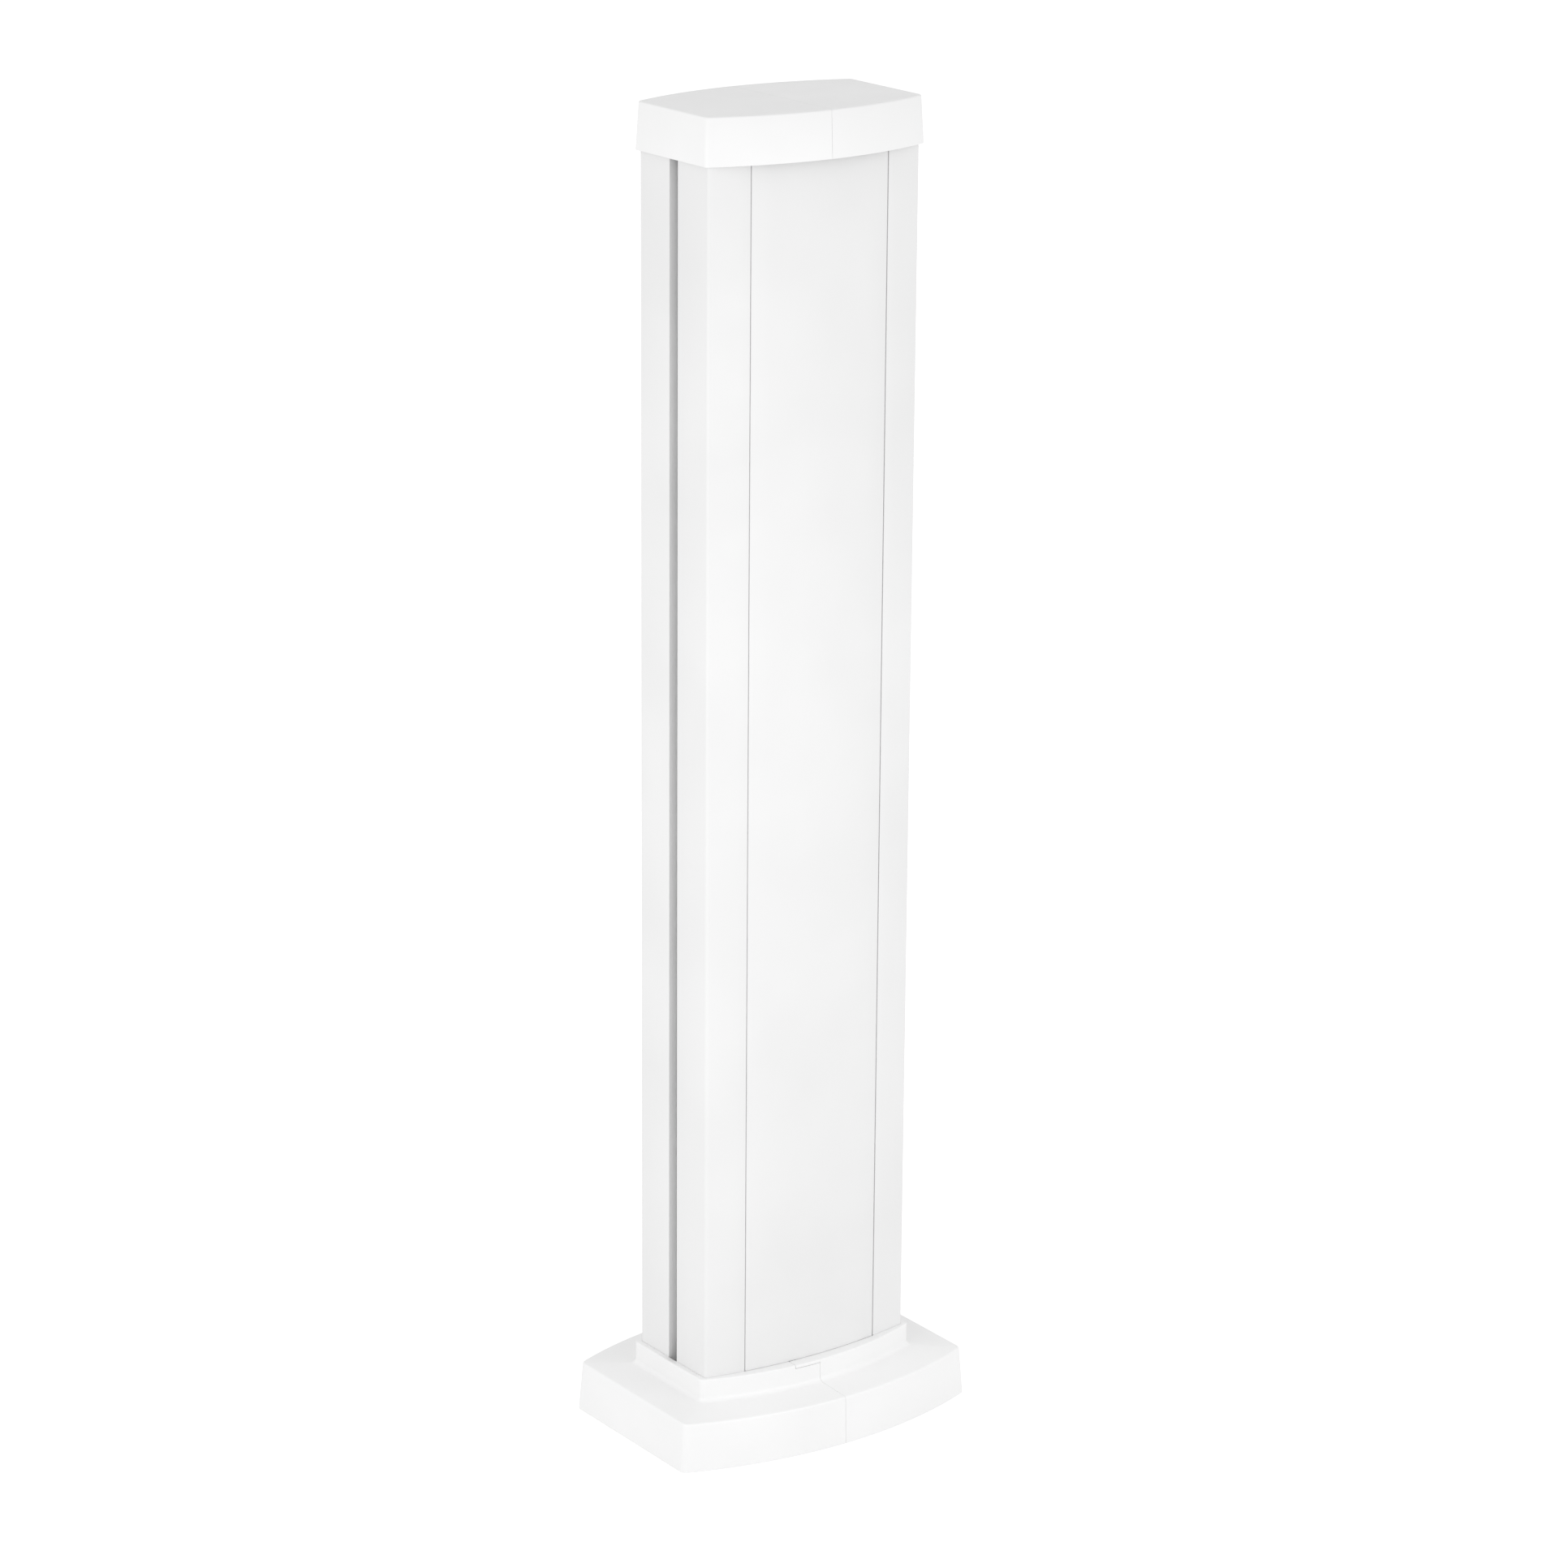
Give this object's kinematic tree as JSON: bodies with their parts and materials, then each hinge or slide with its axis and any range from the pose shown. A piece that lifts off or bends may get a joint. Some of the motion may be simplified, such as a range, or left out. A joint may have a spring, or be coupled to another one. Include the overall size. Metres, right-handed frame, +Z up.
{
  "type": "service post",
  "caption": "Slim floor-standing service post with a front and a rear cable compartment, bowed covers, a flat split cap and a flared split base trim.",
  "frame": {"origin": "centre of the footprint on the floor", "axes": "+X across the wide face to the right seen from the front, -Y out of the front cover, +Z up the column"},
  "size_m": [0.178, 0.1318, 0.68],
  "materials": {
    "column_white": "extruded aluminium with a white satin powder coat",
    "cover_white": "fine satin rigid PVC",
    "moulding_white": "smooth satin moulded plastic",
    "inner_grey": "plain moulded or extruded plastic",
    "zinc_steel": "zinc-plated steel",
    "black_rubber": "matt rubber",
    "earth_brass": "plain brass"
  },
  "bodies": {
    "post": {"column_profile": "column_white", "floor_plate": "zinc_steel", "floor_pad": "black_rubber", "cable_entry_grommet": "black_rubber", "cap_insert": "inner_grey", "front_partition": "inner_grey", "rear_partition": "inner_grey", "cable_clip_front_lower": "inner_grey", "cable_clip_front_middle": "inner_grey", "cable_clip_front_upper": "inner_grey", "cable_clip_rear_lower": "inner_grey", "cable_clip_rear_middle": "inner_grey", "cable_clip_rear_upper": "inner_grey", "plate_screws": "zinc_steel", "insert_screws": "zinc_steel", "earth_screw": "zinc_steel", "earth_washer": "earth_brass", "earth_nut": "earth_brass"},
    "front_cover": {"front_cover": "cover_white"},
    "rear_cover": {"rear_cover": "cover_white"},
    "cap_left": {"cap_left": "moulding_white"},
    "cap_right": {"cap_right": "moulding_white"},
    "base_trim_left": {"base_trim_left": "moulding_white"},
    "base_trim_right": {"base_trim_right": "moulding_white"}
  },
  "joints": [
    {"name": "front_cover_pull", "type": "slide", "parent": "post", "child": "front_cover", "axis": [0, -1, 0], "range_m": [0, 0.06]},
    {"name": "rear_cover_pull", "type": "slide", "parent": "post", "child": "rear_cover", "axis": [0, 1, 0], "range_m": [0, 0.06]},
    {"name": "cap_left_slide", "type": "slide", "parent": "post", "child": "cap_left", "axis": [-1, 0, 0], "range_m": [0, 0.08]},
    {"name": "cap_right_slide", "type": "slide", "parent": "post", "child": "cap_right", "axis": [1, 0, 0], "range_m": [0, 0.08]},
    {"name": "base_trim_left_slide", "type": "slide", "parent": "post", "child": "base_trim_left", "axis": [-1, 0, 0], "range_m": [0, 0.1]},
    {"name": "base_trim_right_slide", "type": "slide", "parent": "post", "child": "base_trim_right", "axis": [1, 0, 0], "range_m": [0, 0.1]}
  ]
}
